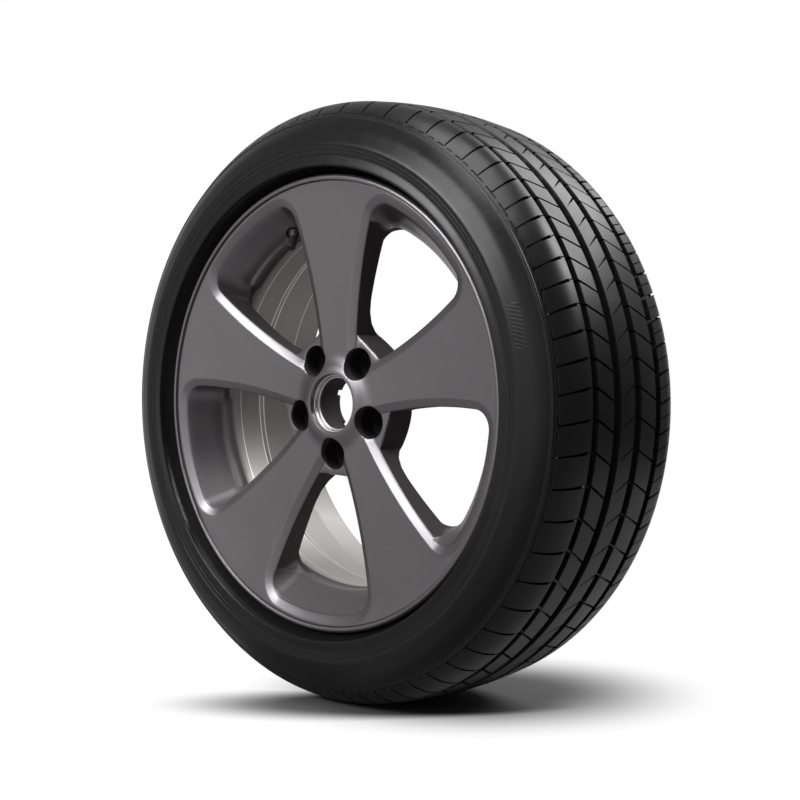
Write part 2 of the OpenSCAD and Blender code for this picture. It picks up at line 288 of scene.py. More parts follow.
# The sidewall: drop from the tread's middle, and distance inside the widest place
SIDEWALL = [(TREAD_R - drop, SIDE - inset) for drop, inset in
            [(35.4, 6.8), (40.9, 4.4), (46.4, 2.2), (50.4, 0.7), (53.4, 0), (56.4, 0.5),
             (59.4, 1.4), (62.4, 1.9), (65.4, 1.7), (68.6, 0.9), (71.4, 0.3)]]
GUARD_RIB = [(FLANGE_R + 8.1, SIDE - 0.1), (FLANGE_R + 7.2, SIDE - 0.8),
             (FLANGE_R + 6.8, SIDE - 2.4), (FLANGE_R + 6.5, HALF_W + 17.5),
             (FLANGE_R + 5.9, HALF_W + 13.5), (FLANGE_R + 5.1, HALF_W + 9.5),
             (FLANGE_R + 3.2, HALF_W + 5.6), (FLANGE_R + 0.7, HALF_W + 2.8),
             (FLANGE_R - 1.6, HALF_W + 0.8), (FLANGE_R - 4.2, HALF_W)]
SEAT_LINE = [(SEAT_R + 3.2, HALF_W), (SEAT_R + 1.0, HALF_W - 0.8), (SEAT_R, HALF_W - 2.6),
             (SEAT_R - 1.6, HALF_W - 20.4)]
INNER_WALL = [(SEAT_R - 0.1, HALF_W - 22.2), (TREAD_R - 92, HALF_W - 19),
              (TREAD_R - 82, HALF_W - 11), (TREAD_R - 68, SIDE - 13.5),
              (TREAD_R - 57, SIDE - 8.6), (TREAD_R - 46, SIDE - 9.6), (TREAD_R - 33, SIDE - 15),
              (TREAD_R - 24.5, 84), (TREAD_R - 18.6, 70), (TREAD_R - 16.6, 45)]

CROWN_FINE = curve_through(CROWN, 3)
# A fine ridge runs round the tyre below the blocks, between these two drops of the skin
RIDGE = [(95.2, 22.25), (95.9, 22.35), (96.5, 22.7), (96.95, 23.3), (97.1, 23.9), (97.05, 24.4)]
outer_skin = curve_through([(TREAD_R - drop, z) for z, drop in CROWN] + SIDEWALL + GUARD_RIB, 2)
ridge_skin = [(TREAD_R - drop, z) for z, drop in RIDGE]
tread_side = [p for p in outer_skin if p[0] > ridge_skin[0][0] + 0.2] + ridge_skin
side_skin = [p for p in outer_skin if p[0] < ridge_skin[-1][0] - 0.2]


def crown_drop(z):
    return look_up(abs(z), CROWN_FINE)


def groove_points(z, width, base_drop):
    """A groove's section from its inner edge round its floor to its outer edge."""
    half = width / 2
    floor = TREAD_R - base_drop - GROOVE_DEPTH
    lip_low, lip_high = TREAD_R - crown_drop(z - half), TREAD_R - crown_drop(z + half)
    foot_low, foot_high = z - half + GROOVE_TAPER, z + half - GROOVE_TAPER
    return [(lip_low, z - half - 0.35), (lip_low - 0.4, z - half + 0.05),
            (floor + 1.6, foot_low - 0.6), (floor + 0.4, foot_low + 0.3), (floor, foot_low + 1.4),
            (floor, foot_high - 1.4), (floor + 0.4, foot_high - 0.3),
            (floor + 1.6, foot_high + 0.6), (lip_high - 0.4, z + half - 0.05),
            (lip_high, z + half + 0.35)]


# Room left for a groove's rounded lips
LIP_ROOM = 1.2


def tread_line():
    """The tread from the inner shoulder to the outer one, with its grooves."""
    surface = mirrored([p for p in tread_side if p[1] > 0.01]) + tread_side
    line, start = [], -SIDE
    for z, width in sorted(GROOVES):
        line += [p for p in surface if start < p[1] < z - width / 2 - LIP_ROOM]
        line += groove_points(z, width, crown_drop(z))
        start = z + width / 2 + LIP_ROOM
    return line + [p for p in surface if p[1] > start]


def tyre_outline():
    outer = side_skin + SEAT_LINE + INNER_WALL
    inner = [(r, -z) for r, z in outer]
    return tread_line() + outer + list(reversed(inner))


tyre_section = tyre_outline()
print("tyre section:", len(tyre_section), "points")

# %% [markdown]
# ## Tyre: slots and sipes
# The blocks are made by thin steel blades in the mould. A blade is lofted once from its side
# view, with a knee where its foot follows the shoulder, and every slot is a copy of it, laid at
# its own angle. The pitch swells and shrinks three times round the tread, as on a real tyre,
# where it spreads the noise. All blades are joined and taken out of the turned tyre in one cut.

# %% Blades for the slots, and the cut
PITCHES = 70
PITCH_SWELL = 3.6
BLADE_TOP = TREAD_R + 3
# Each kind: place in the pitch, foot as (axial place, drop below the tread's middle), lean, widths
# at both ends, and place round the tread of its first end, in millimetres
SLOTS = [
    (0, [(66.5, 11.2), (76, 14.2), (86, 18.6), (93, 22.2)], -0.21, (3.3, 1.5), -1),
    (0, [(61, 8), (67.5, 9.6)], -0.18, (1.1, 1.4), 0.1),
    (0, [(29, 7.2), (56, 9)], 0.55, (2.3, 2.6), -15),
    (0.12, [(-5, 6.5), (17.5, 5.5)], -0.62, (2.6, 0.9), 0),
    (0, [(-43, 8), (-10, 6)], 0.43, (2.4, 1.7), -14),
    (0.36, [(-93, 22.2), (-86, 18.6), (-74, 13.2), (-48, 9)], -0.26, (1.6, 3.2), 11.6),
    (0.86, [(-84, 14.6), (-66, 9.2), (-48, 8)], -0.26, (0.9, 1.3), 9.4),
    (0, [(92.3, 20.6), (93.7, 22.0)], 0, (9.5, 9.5), -2.0),
    (0, [(92.3, 20.6), (93.7, 22.0)], 0, (7.5, 7.5), 12.0),
    (0.36, [(-93.7, 22.0), (-92.3, 20.6)], 0, (9.5, 9.5), 16.0),
]


def pitch_angle(i):
    angle = 360 * i / PITCHES
    return angle + PITCH_SWELL * math.cos(math.radians(3 * angle))


def blade(foot, slope, widths):
    """One blade along its foot, drawn from the first end, which lies at axial place 0."""
    lean = math.atan(slope)
    first, last = foot[0][0], foot[-1][0]
    places = [(z - first) / math.cos(lean) for z, drop in foot]
    side_view = [(TREAD_R - drop, place) for place, (z, drop) in zip(places, foot)]
    outline = [(BLADE_TOP, 0)] + side_view + [(BLADE_TOP, places[-1])]
    halves = [(widths[0] + (widths[1] - widths[0]) * z / places[-1]) / 2 for r, z in outline]
    rings = [[(r, side * half, z) for (r, z), half in zip(outline, halves)] for side in (-1, 1)]
    piece = loft("blade", rings)
    piece.data.transform(Matrix.Rotation(-lean, 4, "X"))
    return piece


def tread_blades():
    blades = []
    for place, foot, slope, widths, start in SLOTS:
        model = blade(foot, slope, widths)
        shift = (0, start, foot[0][0])
        blades += [turned_copy(model, pitch_angle(i + place), shift) for i in range(PITCHES)]
        bpy.data.objects.remove(model)
    return joined("blades", blades)


# How much of the tread is lost where the wheel stands, and the reach of the block that takes it
FLAT_DROP = 2.26
BLOCK_HALF_LENGTH, BLOCK_DEPTH = 60, 10


def ground_block():
    """What the ground takes off the tread where the wheel stands."""
    clear_selection()
    bpy.ops.mesh.primitive_cube_add(size=2)
    block = bpy.context.object
    for vertex in block.data.vertices:
        height = -TREAD_R + FLAT_DROP if vertex.co.y > 0 else -TREAD_R - BLOCK_DEPTH
        vertex.co = (vertex.co.x * BLOCK_HALF_LENGTH, height, vertex.co.z * SIDE)
    return block


def make_tyre():
    piece = turned("tyre_cover", tyre_section)
    cut(piece, tread_blades())
    cut(piece, ground_block())
    return piece


tyre_cover = make_tyre()
count(tyre_cover)

# %% [markdown]
# ## Rim: the casting
# The rim is cast in one piece and turned where the tyre and the hub seat, so it starts as one
# spun section. Corners that would be sharp on paper get a small radius, because a painted
# casting has none, and those radii are what catches the light.

# %% Rim section, with its corners rounded
CAP_RECESS_R = 30.5
BORE_R = 28.3
FACE_SLOPE = 0.1076
FACE_START = (50.0, 77.2)


def face_z(r):
    return FACE_START[1] + (r - FACE_START[0]) * FACE_SLOPE


def rounded_line(points, steps=4):
    """An outline of (r, z, radius) points, with each corner rounded to its radius."""
    out = []
    count_all = len(points)
    for i, (r, z, radius) in enumerate(points):
        here = Vector((r, z))
        back = Vector(points[i - 1][:2]) - here
        ahead = Vector(points[(i + 1) % count_all][:2]) - here
        if radius == 0:
            out.append((r, z))
            continue
        turn_half = back.angle(ahead) / 2
        reach = min(radius / math.tan(turn_half), back.length * 0.48, ahead.length * 0.48)
        a, b = here + back.normalized() * reach, here + ahead.normalized() * reach
        for k in range(steps + 1):
            t = k / steps
            out.append(tuple(a * (1 - t) ** 2 + here * 2 * t * (1 - t) + b * t ** 2))
    return out


FLANGE_EDGE = [(FLANGE_R - 5.6, HALF_W + 10.1), (FLANGE_R - 3.4, HALF_W + 10.6),
               (FLANGE_R - 1.2, HALF_W + 9.4), (FLANGE_R, HALF_W + 7),
               (FLANGE_R - 0.3, HALF_W + 4.6), (FLANGE_R - 1.8, HALF_W + 2.4),
               (FLANGE_R - 5, HALF_W + 0.5), (FLANGE_R - 9, HALF_W)]
HUMP = [(SEAT_R - 0.7, HALF_W - 22.4), (SEAT_R - 0.4, HALF_W - 24.2),
        (SEAT_R - 1.3, HALF_W - 26.2)]
WELL = [(214, 60.5), (203, 55), (200, 51.5), (199, 47), (199, 20), (203, -7), (212, -56)]
flange_skin = curve_through(FLANGE_EDGE, 3)
seat_skin = [(r + 0.05, z) for r, z in SEAT_LINE]
# From the inner flange along the barrel and the spokes' backs to the hub, and up the bore to the
# cap's seat, each with the radius of its corner
RIM_BACK = rounded_line([
    (228, -HALF_W - 8.6, 0), (216.5, -HALF_W - 8.4, 1.5), (213.4, -HALF_W - 7.2, 1.5),
    (212.4, -HALF_W - 4.4, 2), (208.4, -58.5, 1), (207.2, -56.5, 1), (198, -7, 3), (194.6, 2.5, 3),
    (195, 41.4, 2), (192.5, 50, 6), (187, 56.5, 6), (176, 61, 8), (115, 61, 12), (101, 59.4, 8),
    (89, 54.6, 6), (81, 47.6, 4), (76.5, 41, 2), (73.5, INSET, 1), (BORE_R + 1.2, INSET, 0),
    (BORE_R, INSET + 1.2, 0), (BORE_R, 68, 0.4), (BORE_R - 1.5, 68, 0.4),
    (BORE_R - 1.5, 72.5, 0.8), (28.8, 72.5, 0.5), (28.8, 77, 0.9), (CAP_RECESS_R, 77, 0.4),
    (CAP_RECESS_R, 82, 1.2), (34.5, 81.9, 0)])
HUB_FACE = curve_through([(34.5, 81.9), (38.5, 81.0), (43, 79.4), (48, 78.15), (54, 77.8),
                          (62, face_z(62)), (72, face_z(72)), (82, face_z(82))], 4)
FACE_END = rounded_line([(200, face_z(200), 0), (228.9, face_z(228.9), 0.9), (229.5, 95.2, 0.5),
                         (230.0, 99.0, 0)])[1:-1]


def rim_outline():
    half_seat = flange_skin + seat_skin + HUMP
    face_rows = HUB_FACE + [(r, face_z(r)) for r in range(90, 221, 10)]
    return RIM_BACK + face_rows + FACE_END + half_seat + WELL + mirrored(half_seat)[:-3]


rim_section = rim_outline()
print("rim section:", len(rim_section), "points")

# %% [markdown]
# ## Rim: the windows
# A window's outline widens outwards with a slight curve and ends in an arc round the axle, with
# round corners between. One formula gives the outline at any growth, so a single loft can carry
# the whole recess: flat on the face, round over the brim, down the bevel, round over the inner
# edge, and down the wall to the back. Close to the hub the outline ends inside a bolt pocket.

# %% Window outlines
WINDOW_R = 217.9
WINDOW_INNER = 74.7
CORNER_R = 19.5
BEVEL_W = 8.5
TAIL_START = 50.0
TAIL_STEPS, SIDE_STEPS, CORNER_STEPS, ARC_STEPS = 4, 18, 14, 9
# Half way along a window: its place, its half width there and its side's slope
MIDWAY, MIDWAY_HALF, MIDWAY_SLOPE = 128.8, 47.55, 0.433
# Over this reach from there, the side bends in by so much, and its slope drops by so much
BEND_REACH, BEND, BEND_SLOPE = 49.5, 3.02, 0.122


def window_half(u):
    return MIDWAY_HALF + MIDWAY_SLOPE * (u - MIDWAY) - BEND * ((u - MIDWAY) / BEND_REACH) ** 2


def side_lean(u):
    return math.atan(MIDWAY_SLOPE - BEND_SLOPE * (u - MIDWAY) / BEND_REACH)


def grown_side(u, grow):
    lean = side_lean(u)
    return (u - grow * math.sin(lean), window_half(u) + grow * math.cos(lean))


def corner_start(grow, corner, outer):
    """The place along a side where its corner arc begins, found by halving."""
    low, high = 120.0, outer
    for _ in range(30):
        middle = (low + high) / 2
        if math.hypot(*grown_side(middle, grow - corner)) < outer - corner:
            low = middle
        else:
            high = middle
    return low


def spaced(first, last, steps):
    """Places in even steps, from first to the one before last."""
    return [first + (last - first) * k / steps for k in range(steps)]


def half_window(grow, corner, outer):
    """Half an outline, from its inner end along the side and round the corner to the middle."""
    start = corner_start(grow, corner, outer)
    middle = grown_side(start, grow - corner)
    first = math.pi / 2 + side_lean(start)
    last = math.atan2(middle[1], middle[0])
    tail = [grown_side(u, grow) for u in spaced(TAIL_START, WINDOW_INNER, TAIL_STEPS)]
    side = [grown_side(u, grow) for u in spaced(WINDOW_INNER, start, SIDE_STEPS)]
    turn_round = [first + (last - first) * k / CORNER_STEPS for k in range(CORNER_STEPS + 1)]
    bend = [(middle[0] + corner * math.cos(t), middle[1] + corner * math.sin(t))
            for t in turn_round]
    arc = [last * (1 - k / ARC_STEPS) for k in range(1, ARC_STEPS + 1)]
    return tail + side + bend + [(outer * math.cos(t), outer * math.sin(t)) for t in arc]


def hole_half(back_off, corner, outer):
    """The half outline where the window goes right through, its tail across the inner end."""
    half = half_window(0, corner, outer)
    edge_u, edge_v = WINDOW_INNER - back_off, window_half(WINDOW_INNER)
    across = [(edge_u, edge_v * (k + 0.5) / (TAIL_STEPS + 0.5)) for k in range(TAIL_STEPS)]
    return across + half[TAIL_STEPS:]


# %% [markdown]
# ## Rim: one cutter for each window
# Each ring of the loft has a height for every point. Down the bevel, the height runs from the
# face to the bevel's foot. The fillets are three or four rings that leave the straight line.
# Behind the bevel the outer wall leans in towards the well, as the photograph shows through the
# windows, while the spokes' sides go straight back.

# %% Window cutter
PAD_Z = 74.8
BEVEL_GROWTH = 8.6
WALL_BOTTOM = 30.0
CUTTER_TOP, CUTTER_FLOOR = 112.0, 28.0
# Rings over the brim and down the bevel, as (share of the bevel, lift off its straight line)
BEVEL_RINGS = [(1.2, 0.12), (1.09, 0.0), (1.0, -0.07), (0.9, -0.02), (0.5, 0.0), (0.16, 0.0),
               (0.06, -0.08), (0.0, -0.45)]
# Rings round the edge below, as (height, how far the tail backs off, its depth under the pad)
EDGE_RINGS = [(91.4, 2.0, 0.05), (91.0, 0.8, 0.5), (90.0, 0.0, 1.7)]
WALL_HEIGHTS = (88, 84, 80, 76, 72, 68, 64, 60, 55, 50, 44, 37)
# The outer wall behind the bevel, as (height, radius)
WINDOW_WALL = [(20, 193.5), (50, 193.5), (60, 194.8), (68, 199.6), (77, 206.5), (84, 211.6),
               (89, 215.2), (91.2, 217.2), (92.2, WINDOW_R), (110, WINDOW_R)]


def foot_z(r):
    return PAD_Z + max(0.0, r - 70) * 0.118


def both_sides(half):
    return half + [(u, -v, z) for u, v, z in reversed(half)]


def bevel_ring(share, lift=0.0):
    """A ring that share of the way from the bevel's foot, 0, to its brim on the face, 1."""
    foot = half_window(0, CORNER_R, WINDOW_R)
    half = half_window(BEVEL_W * share, CORNER_R + BEVEL_W * share, WINDOW_R + BEVEL_GROWTH * share)
    brim = half_window(BEVEL_W, CORNER_R + BEVEL_W, WINDOW_R + BEVEL_GROWTH)
    out = []
    for (u, v), (u0, v0), (u1, v1) in zip(half, foot, brim):
        low, high = foot_z(math.hypot(u0, v0)), face_z(math.hypot(u1, v1))
        z = low + (high - low) * share if share <= 1 else face_z(math.hypot(u, v))
        out.append((u, v, z + lift))
    return both_sides(out)


def wall_ring(z_arc, back_off=0.0, tail_z=None):
    """A ring down the window's wall, at height z_arc on its outer arc and in step elsewhere."""
    top = foot_z(WINDOW_R)
    share = (top - z_arc) / (top - WALL_BOTTOM)
    foot = half_window(0, CORNER_R, WINDOW_R)
    half = hole_half(back_off, CORNER_R, look_up(z_arc, WINDOW_WALL))
    out = []
    for index, ((u, v), (u0, v0)) in enumerate(zip(half, foot)):
        start = foot_z(math.hypot(u0, v0)) if index >= TAIL_STEPS else foot_z(math.hypot(u, v))
        z = start + (WALL_BOTTOM - start) * share
        out.append((u, v, z if index >= TAIL_STEPS or tail_z is None else tail_z))
    return both_sides(out)


def window_cutter():
    top = [(u, v, CUTTER_TOP) for u, v, z in bevel_ring(BEVEL_RINGS[0][0])]
    rings = [top] + [bevel_ring(share, lift) for share, lift in BEVEL_RINGS]
    rings += [wall_ring(z, back_off, PAD_Z - depth) for z, back_off, depth in EDGE_RINGS]
    rings += [wall_ring(z) for z in WALL_HEIGHTS]
    floor = [(u, v, CUTTER_FLOOR) for u, v, z in wall_ring(WALL_BOTTOM)]
    return loft("window_cutter", rings + [floor])


# %% [markdown]
# ## Rim: bolt holes, bore and back
# Each bolt sits in a round pocket, on a cone. The pocket cuts through the pad, the bevels and
# the collar at once, so the rounding of its mouth has to follow all three: rays cast down on the
# rim find how high the skin lies round the pocket, and the cutter's last rings flare out there.
# On the back, each spoke is hollowed, and the mounting face is relieved between the bolts, to
# save weight where nothing shows.

# %% Cutters for the bolts and for the back
SPOKES = 5
TURN = -2.7
BOLT_CIRCLE_R = 52.5
BOLT_HOLE_R = 7.25
BOLT_POCKET_R = 16.5
SEAT_CONE_Z, SEAT_CONE_R = 46.0, 12.4
SMALL_STEPS = 72


def round_the_axle(model, first):
    copies = [turned_copy(model, first + k * 360 / SPOKES) for k in range(SPOKES)]
    bpy.data.objects.remove(model)
    return joined(copies[0].name, copies)


def skin_height(piece, u, v, degrees):
    """Height of the rim's skin at a place that is given along a window's middle line."""
    place = Matrix.Rotation(math.radians(degrees), 3, "Z") @ Vector((u, v, 120.0))
    hit, where, _, _ = piece.ray_cast(place, Vector((0, 0, -1)))
    return where.z if hit else PAD_Z


def round_ring(radius, heights):
    turns = [math.tau * k / len(heights) for k in range(len(heights))]
    return [(BOLT_CIRCLE_R + radius * math.cos(turn), radius * math.sin(turn), z)
            for turn, z in zip(turns, heights)]


# Rounding of a pocket's mouth: how far each ring stands out of the pocket, and its depth there
MOUTH = [(0.0, 1.5), (0.1, 0.75), (0.42, 0.2), (0.95, -0.03), (1.3, -0.5)]


def bolt_cutter(piece, degrees):
    cone_top = SEAT_CONE_Z + (SEAT_CONE_R - BOLT_HOLE_R) / math.tan(math.radians(30))
    rings = [round_ring(radius, [z] * SMALL_STEPS) for radius, z in
             [(BOLT_HOLE_R, INSET - 5), (BOLT_HOLE_R, SEAT_CONE_Z), (SEAT_CONE_R, cone_top),
              (BOLT_POCKET_R - 0.4, cone_top), (BOLT_POCKET_R, cone_top + 0.4)]]
    for out, depth in MOUTH:
        flat = round_ring(BOLT_POCKET_R + out, [0] * SMALL_STEPS)
        rings.append([(u, v, skin_height(piece, u, v, degrees) - depth) for u, v, z in flat])
    rings.append(round_ring(BOLT_POCKET_R + MOUTH[-1][0], [95] * SMALL_STEPS))
    return loft("bolt_cutter", rings)


def pocket_cutter(name, corners, radius, low, high, draft):
    """A rounded pocket cut into a back face, from height low up to high, narrower by its draft."""
    wide = rounded_line([(u, v, radius) for u, v in corners], 6)
    middle = Vector((sum(u for u, v in wide), sum(v for u, v in wide))) / len(wide)
    narrow = [tuple(middle + (Vector(p) - middle) * (1 - draft)) for p in wide]
    narrower = [tuple(middle + (Vector(p) - middle) * (1 - draft * 1.6)) for p in wide]
    between = [(u * 0.5 + a * 0.5, v * 0.5 + b * 0.5) for (u, v), (a, b) in zip(narrow, narrower)]
    rings = [[(u, v, low) for u, v in wide], [(u, v, high - 2.0) for u, v in narrow],
             [(u, v, high - 0.6) for u, v in between], [(u, v, high) for u, v in narrower]]
    return loft(name, rings)


NOTCH_PLACE, NOTCH_SIZE = (29, 0, INSET + 3), (10, 7.2, 8, 1)


def bore_notch():
    clear_selection()
    bpy.ops.mesh.primitive_cube_add(size=1)
    notch = bpy.context.object
    notch.data.transform(Matrix.Translation(NOTCH_PLACE) @ Matrix.Diagonal(NOTCH_SIZE))
    return notch


# %% Where the valve goes through the rim
VALVE_ANGLE = 112.0
VALVE_FOOT = (196.2, 0.0, 62.0)
VALVE_TILT = 55.5
# Flat lands for the valve's rubber on both sides of its hole, with room above and below them
LAND_TOP, LAND_BASE = -6.6, -10.6
LAND_TOP_R, LAND_BASE_R, VALVE_HOLE_R = 10.2, 9.9, 5.75
ROOM_ABOVE, ROOM_BELOW = 22, 12
AT_VALVE = (Matrix.Rotation(math.radians(VALVE_ANGLE), 4, "Z") @ Matrix.Translation(VALVE_FOOT)
            @ Matrix.Rotation(math.radians(-VALVE_TILT), 4, "Y"))


def valve_cutter():
    outline = [(0, LAND_BASE - ROOM_BELOW), (LAND_BASE_R, LAND_BASE - ROOM_BELOW),
               (LAND_BASE_R, LAND_BASE), (VALVE_HOLE_R, LAND_BASE), (VALVE_HOLE_R, LAND_TOP),
               (LAND_TOP_R - 0.5, LAND_TOP), (LAND_TOP_R, LAND_TOP + 0.5),
               (LAND_TOP_R, LAND_TOP + ROOM_ABOVE), (0, LAND_TOP + ROOM_ABOVE)]
    cutter = turned("valve_cutter", outline, SMALL_STEPS)
    cutter.data.transform(AT_VALVE)
    return cutter


# %% The rim, cut from its casting
# Corners on the back, along a spoke's middle line: its hollow, and the relief between the bolts
SPOKE_HOLLOW = [(106, -20), (182, -38), (182, 38), (106, 20)]
PAD_RELIEF = [(41, -6), (65, -13), (65, 13), (41, 6)]


def make_rim():
    piece = turned("rim_casting", rim_section)
    window = TURN - 90
    spoke = window + 180
    cut(piece, round_the_axle(window_cutter(), window))
    cut(piece, round_the_axle(bolt_cutter(piece, window), window))
    cut(piece, round_the_axle(pocket_cutter("core", SPOKE_HOLLOW, 9, INSET, 73, 0.08), spoke))
    cut(piece, round_the_axle(pocket_cutter("relief", PAD_RELIEF, 4, INSET - 1, 49, 0.05), spoke))
    cut(piece, round_the_axle(bore_notch(), spoke))
    cut(piece, valve_cutter())
    return piece


rim_casting = make_rim()
count(rim_casting)

# %% [markdown]
# ## Writing shaders as maths
# A pattern is easier to read as an expression than as a tangle of nodes. `Value` wraps a number
# socket: adding or multiplying two of them adds a Math node. `Shader` makes any other node from
# its type, its settings, and the values or links of its sockets.

# %% Shader maths
class Value:
    def __init__(self, shader, socket):
        self.shader, self.socket = shader, socket

    def math(self, operation, *others):
        return self.shader.node("ShaderNodeMath", {"operation": operation}, self, *others)

    def __add__(self, other):
        return self.math("ADD", other)

    def __radd__(self, other):
        return self.math("ADD", other)

    def __sub__(self, other):
        return self.math("SUBTRACT", other)

    def __rsub__(self, other):
        return self.shader.node("ShaderNodeMath", {"operation": "SUBTRACT"}, other, self)

    def __mul__(self, other):
        return self.math("MULTIPLY", other)

    def __rmul__(self, other):
        return self.math("MULTIPLY", other)

    def __truediv__(self, other):
        return self.math("DIVIDE", other)

    def __pow__(self, other):
        return self.math("POWER", other)

    def sine(self):
        return self.math("SINE")

    def above(self, edge, soft):
        """0 below the edge and 1 above it, with a soft step between."""
        return self.shader.node("ShaderNodeMapRange", {"interpolation_type": "SMOOTHSTEP"},
                                self, edge - soft, edge + soft, 0.0, 1.0)

    def below(self, edge, soft):
        return 1.0 - self.above(edge, soft)

    def near(self, place, half, soft):
        """1 up to half a width away from a place and 0 beyond it, with a soft step between."""
        return (self - place).math("ABSOLUTE").below(half, soft)


class Shader:
    """Writes nodes into a new material, or into a world when one is given."""

    def __init__(self, name, world=None):
        self.material = world or bpy.data.materials.new(name)
        self.material.use_nodes = True
        self.tree = self.material.node_tree
        self.surface = self.tree.nodes["Background" if world else "Principled BSDF"]

    def node(self, kind, settings, *values, out=0, **named):
        """A node of that kind, with its settings, and its sockets filled in order or by name."""
        made = self.tree.nodes.new(kind)
        for key, setting in settings.items():
            setattr(made, key, setting)
        for key, value in list(enumerate(values)) + list(named.items()):
            self.fill(made.inputs[key if isinstance(key, int) else key.replace("_", " ")], value)
        return Value(self, made.outputs[out])

    def fill(self, socket, value):
        if isinstance(value, Value):
            self.tree.links.new(value.socket, socket)
        elif value is not None:
            socket.default_value = value

    def place(self):
        return self.node("ShaderNodeTexCoord", {}, out="Object")

    def steepness(self):
        """1 on faces that look square to the axle line, such as walls and bores."""
        x, y, z = self.parts(self.node("ShaderNodeTexCoord", {}, out="Normal"))
        return y.math("ABSOLUTE").below(0.32, 0.10)

    def shows_background(self):
        """1 for rays from the camera, and 1 for those off a gloss or through glass."""
        path = self.tree.nodes.new("ShaderNodeLightPath")
        camera, glossy, clear = [Value(self, path.outputs[name]) for name in
                                 ("Is Camera Ray", "Is Glossy Ray", "Is Transmission Ray")]
        return camera, glossy.math("MAXIMUM", clear)

    def parts(self, vector):
        split = self.tree.nodes.new("ShaderNodeSeparateXYZ")
        self.fill(split.inputs[0], vector)
        return [Value(self, split.outputs[axis]) for axis in range(3)]

    def radius(self):
        """Distance from the axle line, in metres."""
        x, y, z = self.parts(self.place())
        return (x * x + z * z) ** 0.5

    def noise(self, scale, detail=2.0):
        return self.node("ShaderNodeTexNoise", {}, Vector=self.place(), Scale=scale, Detail=detail)

    def mix(self, share, a, b):
        """A colour between a and b. A Mix node keeps its sockets for colours at 6, 7 and 2."""
        made = self.tree.nodes.new("ShaderNodeMix")
        made.data_type = "RGBA"
        self.fill(made.inputs[0], share)
        self.fill(made.inputs[6], a)
        self.fill(made.inputs[7], b)
        return Value(self, made.outputs[2])

    def bump(self, height, strength, distance, under=None):
        return self.node("ShaderNodeBump", {}, Strength=strength, Distance=distance,
                         Height=height, Normal=under)

    def finish(self, **sockets):
        """Fills the surface shader's sockets, and gives back the material."""
        for key, value in sockets.items():
            self.fill(self.surface.inputs[key.replace("_", " ")], value)
        return self.material


def grey(level, warm=0.0):
    return (level * (1 + warm), level, level * (1 - warm), 1.0)


# %% [markdown]
# ## Tyre rubber
# New tyre rubber is a deep grey, never pure black. The tread is a little duller than the
# sidewall, which keeps the gloss of the polished mould, with fine rings where that mould was
# turned, a few raised lines, and panels of fine ribs. Down in the grooves the skin is dull and
# its colour is darkened almost to black, as painted shade. A faint bloom lies in soft patches.

# %% Tyre rubber
# Panels of fine slanting ribs: middle and half width in degrees, and the radii they lie between
PANELS = [(16, 4.5), (-25, 5.5), (154, 4.5), (-139, 5.5)]
PANEL_INNER, PANEL_OUTER = 0.268, 0.279
HATCH_LINES, HATCH_LEAN = 420.0, 900.0
# Radii in metres: fine raised lines on the sidewall, the tread's edge, and just under the
# grooves, where the painted shade in them begins
SIDE_LINES = (0.2555, 0.2595, 0.2925)
TREAD_EDGE, UNDER_GROOVES = 0.302, 0.300
# The mould's turning marks, as radians to a metre
TURNING_MARKS = 5200.0
# How much of each side of a groove keeps the gloss and the colour of the tread, outside the
# painted shade, in millimetres
GLOSSY_LIP = 0.9


def rubber_hatch(radius, turn):
    """Fine slanting ribs, in their panels only."""
    panels = sum(turn.near(math.radians(middle), math.radians(half), 0.002)
                 for middle, half in PANELS)
    band = radius.above(PANEL_INNER, 0.0004) * radius.below(PANEL_OUTER, 0.0004)
    return (turn * HATCH_LINES + radius * HATCH_LEAN).sine().above(0.0, 0.5) * panels * band


def groove_shade_mask(radius, y):
    """1 down in the four grooves, where the colour is darkened almost to black as painted shade."""
    return radius.above(UNDER_GROOVES, 0.001) * sum(
        y.near((INSET - place) * MM, (width / 2 - GLOSSY_LIP) * MM, 0.0004) for place, width in GROOVES)


def tyre_rubber():
    shader = Shader("tyre_rubber")
    radius = shader.radius()
    x, y, z = shader.parts(shader.place())
    tread = radius.above(TREAD_EDGE, 0.006)
    bloom = shader.noise(9.0, 3.0)
    grain = shader.noise(1400.0)
    cloud = shader.noise(60.0, 3.0)
    rings = (radius * TURNING_MARKS).sine() * (1.0 - tread)
    hatch = rubber_hatch(radius, z.math("ARCTAN2", x))
    lines = sum(radius.near(place, 0.0005, 0.0003) for place in SIDE_LINES)
    groove = groove_shade_mask(radius, y)
    skin = shader.mix(bloom * 0.7, grey(0.008), grey(0.015, 0.03))
    rough = (0.27 + tread * 0.08 + groove * 0.5 + (cloud - 0.5) * 0.12 + (bloom - 0.5) * 0.10
             + hatch * 0.08)
    fine = shader.bump(grain * 0.5 + rings * 0.10 + cloud * 0.2, 0.35, 0.00012)
    # Down in the grooves the colour goes almost black: painted shade
    return shader.finish(Base_Color=shader.mix(groove, skin, grey(0.002)), Roughness=rough,
                         Specular_IOR_Level=0.36,
                         Normal=shader.bump(hatch * 0.4 + lines, 1.0, 0.0004, fine))


# %% [markdown]
# ## Rim paint
# The rim has a dark silver base coat with fine metal flakes under a clear coat. The flakes are
# far smaller than a pixel from here, so they show as a faint sparkle close by and as a soft,
# slightly violet sheen from further off. The steep walls of the windows and the bore, the bolt
# pockets and the low part of the outer wall are darkened in the colour as painted shade, and
# are duller. The barrel is a plain silver, with a painted highlight towards the bottom and
# painted highlights along its edges, and two rings at the cap's seat are bright.

# %% Rim paint
# The spokes' faces are very slightly hollow along their length, which shows in the gloss alone
DISH_MIDDLE, DISH_REACH, DISH_SLOPE = 0.140, 0.085, 0.10
# Painted highlights along edges in the barrel: place along the axle line and half width, in metres
BARREL_HIGHLIGHTS = [(0.0065, 0.0004), (0.0355, 0.0007), (0.0448, 0.0010), (0.0950, 0.0010)]
# Bright rings at the cap's seat: radius, half width and softness, in metres
SEAT_RINGS = [(0.0272, 0.0006, 0.0003), (0.0291, 0.0004, 0.0002)]
